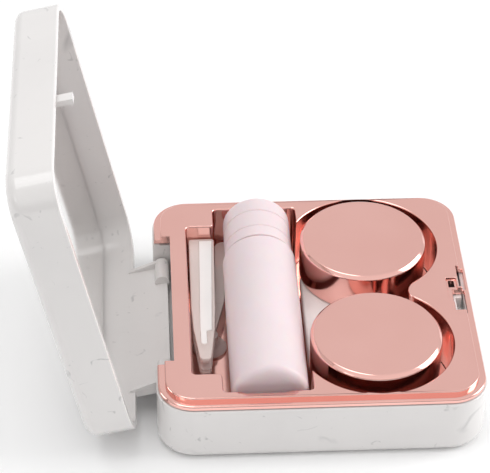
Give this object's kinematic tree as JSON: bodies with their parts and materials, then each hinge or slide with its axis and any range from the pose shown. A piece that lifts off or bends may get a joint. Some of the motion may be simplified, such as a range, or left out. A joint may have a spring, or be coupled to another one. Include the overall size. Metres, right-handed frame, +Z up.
{
  "type": "contact lens travel case",
  "caption": "Square hinged travel case that holds a twin-well contact lens case, a solution bottle, tweezers and a lens remover, with a mirror in its lid and a push-button latch.",
  "frame": {"origin": "centre of the base's flat underside", "axes": "+Z up out of the base; +Y along the hinge, to the right as seen by a user who faces the latch side; +X from the hinge to the latch side"},
  "size_m": [0.0953, 0.068, 0.0714],
  "materials": {
    "marbled_plastic": "glossy white moulding with a pale grey marble print",
    "rose_gold_plating": "plastic plated in mirror-like rose gold",
    "white_plastic": "plain white moulding, semi-gloss",
    "frosted_plastic": "frosted translucent, pinkish white",
    "clear_soft_plastic": "soft translucent",
    "silicone": "matte milky silicone",
    "steel": "bright drawn wire",
    "mirror_glass": "silvered glass",
    "adhesive_foam": "thin adhesive foam sheet"
  },
  "bodies": {
    "base": {"base_shell": "marbled_plastic", "tray_insert": "rose_gold_plating", "hinge_pin_far": "steel", "hinge_pin_near": "steel", "latch_spring": "steel"},
    "lid": {"lid_shell": "marbled_plastic", "mirror": "mirror_glass", "mirror_tape": "adhesive_foam"},
    "latch": {"latch_button": "white_plastic"},
    "lens_case": {"lens_case_body": "white_plastic"},
    "seal_right": {"cap_seal_right": "silicone"},
    "cap_right": {"lens_cap_right": "rose_gold_plating", "cap_liner_right": "white_plastic"},
    "seal_left": {"cap_seal_left": "silicone"},
    "cap_left": {"lens_cap_left": "rose_gold_plating", "cap_liner_left": "white_plastic"},
    "remover": {"remover_wand": "clear_soft_plastic", "remover_cup": "silicone"},
    "tweezers": {"tweezers_head": "white_plastic"},
    "tweezers_upper": {"tweezers_arm_upper": "clear_soft_plastic", "tweezers_core_upper": "white_plastic", "tweezers_pad_upper": "silicone"},
    "tweezers_lower": {"tweezers_arm_lower": "clear_soft_plastic", "tweezers_core_lower": "white_plastic", "tweezers_pad_lower": "silicone"},
    "bottle": {"bottle_body": "frosted_plastic", "bottle_plug": "white_plastic"},
    "bottle_liner": {"bottle_cap_liner": "silicone"},
    "bottle_cap": {"bottle_cap": "frosted_plastic"}
  },
  "joints": [
    {"name": "lid_hinge", "type": "hinge", "parent": "base", "child": "lid", "pos_m": [-0.0321, 0, 0.00816], "axis": [0, -1, 0], "range_deg": [-102.1, 0]},
    {"name": "latch_press", "type": "slide", "parent": "base", "child": "latch", "axis": [-1, 0, 0], "range_m": [0, 0.0012], "stiffness_N_per_m": 800, "springref_m": -0.001, "deforming": ["latch_spring"]},
    {"name": "lens_case_lift", "type": "slide", "parent": "base", "child": "lens_case", "axis": [0, 0, 1], "range_m": [0, 0.025]},
    {"name": "cap_right_rise", "type": "slide", "parent": "lens_case", "child": "seal_right", "axis": [0, 0, 1], "range_m": [0, 0.0045]},
    {"name": "cap_right_turn", "type": "hinge", "parent": "seal_right", "child": "cap_right", "pos_m": [0.012, 0.0158, 0.0083], "axis": [0, 0, 1], "range_deg": [0, 541]},
    {"name": "cap_left_rise", "type": "slide", "parent": "lens_case", "child": "seal_left", "axis": [0, 0, 1], "range_m": [0, 0.0045]},
    {"name": "cap_left_turn", "type": "hinge", "parent": "seal_left", "child": "cap_left", "pos_m": [0.012, -0.0158, 0.0083], "axis": [0, 0, 1], "range_deg": [0, 541]},
    {"name": "remover_lift", "type": "slide", "parent": "base", "child": "remover", "axis": [0, 0, 1], "range_m": [0, 0.018]},
    {"name": "tweezers_lift", "type": "slide", "parent": "remover", "child": "tweezers", "axis": [0, 0, 1], "range_m": [0, 0.025]},
    {"name": "tweezers_squeeze_upper", "type": "hinge", "parent": "tweezers", "child": "tweezers_upper", "pos_m": [-0.0232, 0.0174, 0.0116], "axis": [1, 0, 0], "range_deg": [0, 1.2], "stiffness_Nm_per_rad": 0.7},
    {"name": "tweezers_squeeze_lower", "type": "hinge", "parent": "tweezers", "child": "tweezers_lower", "pos_m": [-0.0232, 0.0174, 0.0079], "axis": [1, 0, 0], "range_deg": [-1.2, 0]},
    {"name": "bottle_lift", "type": "slide", "parent": "remover", "child": "bottle", "axis": [0, 0, 1], "range_m": [0, 0.025]},
    {"name": "bottle_cap_travel", "type": "slide", "parent": "bottle", "child": "bottle_liner", "axis": [0, 1, 0], "range_m": [0, 0.001]},
    {"name": "bottle_cap_turn", "type": "hinge", "parent": "bottle_liner", "child": "bottle_cap", "pos_m": [-0.0108, 0.0148, 0.0126], "axis": [0, 1, 0], "range_deg": [0, 241]}
  ],
  "couplings": [
    {"joint": "cap_right_turn", "follows": "cap_right_rise", "rad_per_m": 2094.4},
    {"joint": "cap_left_turn", "follows": "cap_left_rise", "rad_per_m": 2094.4},
    {"joint": "tweezers_squeeze_lower", "follows": "tweezers_squeeze_upper", "ratio": -1},
    {"joint": "bottle_cap_turn", "follows": "bottle_cap_travel", "rad_per_m": 4188.8}
  ]
}
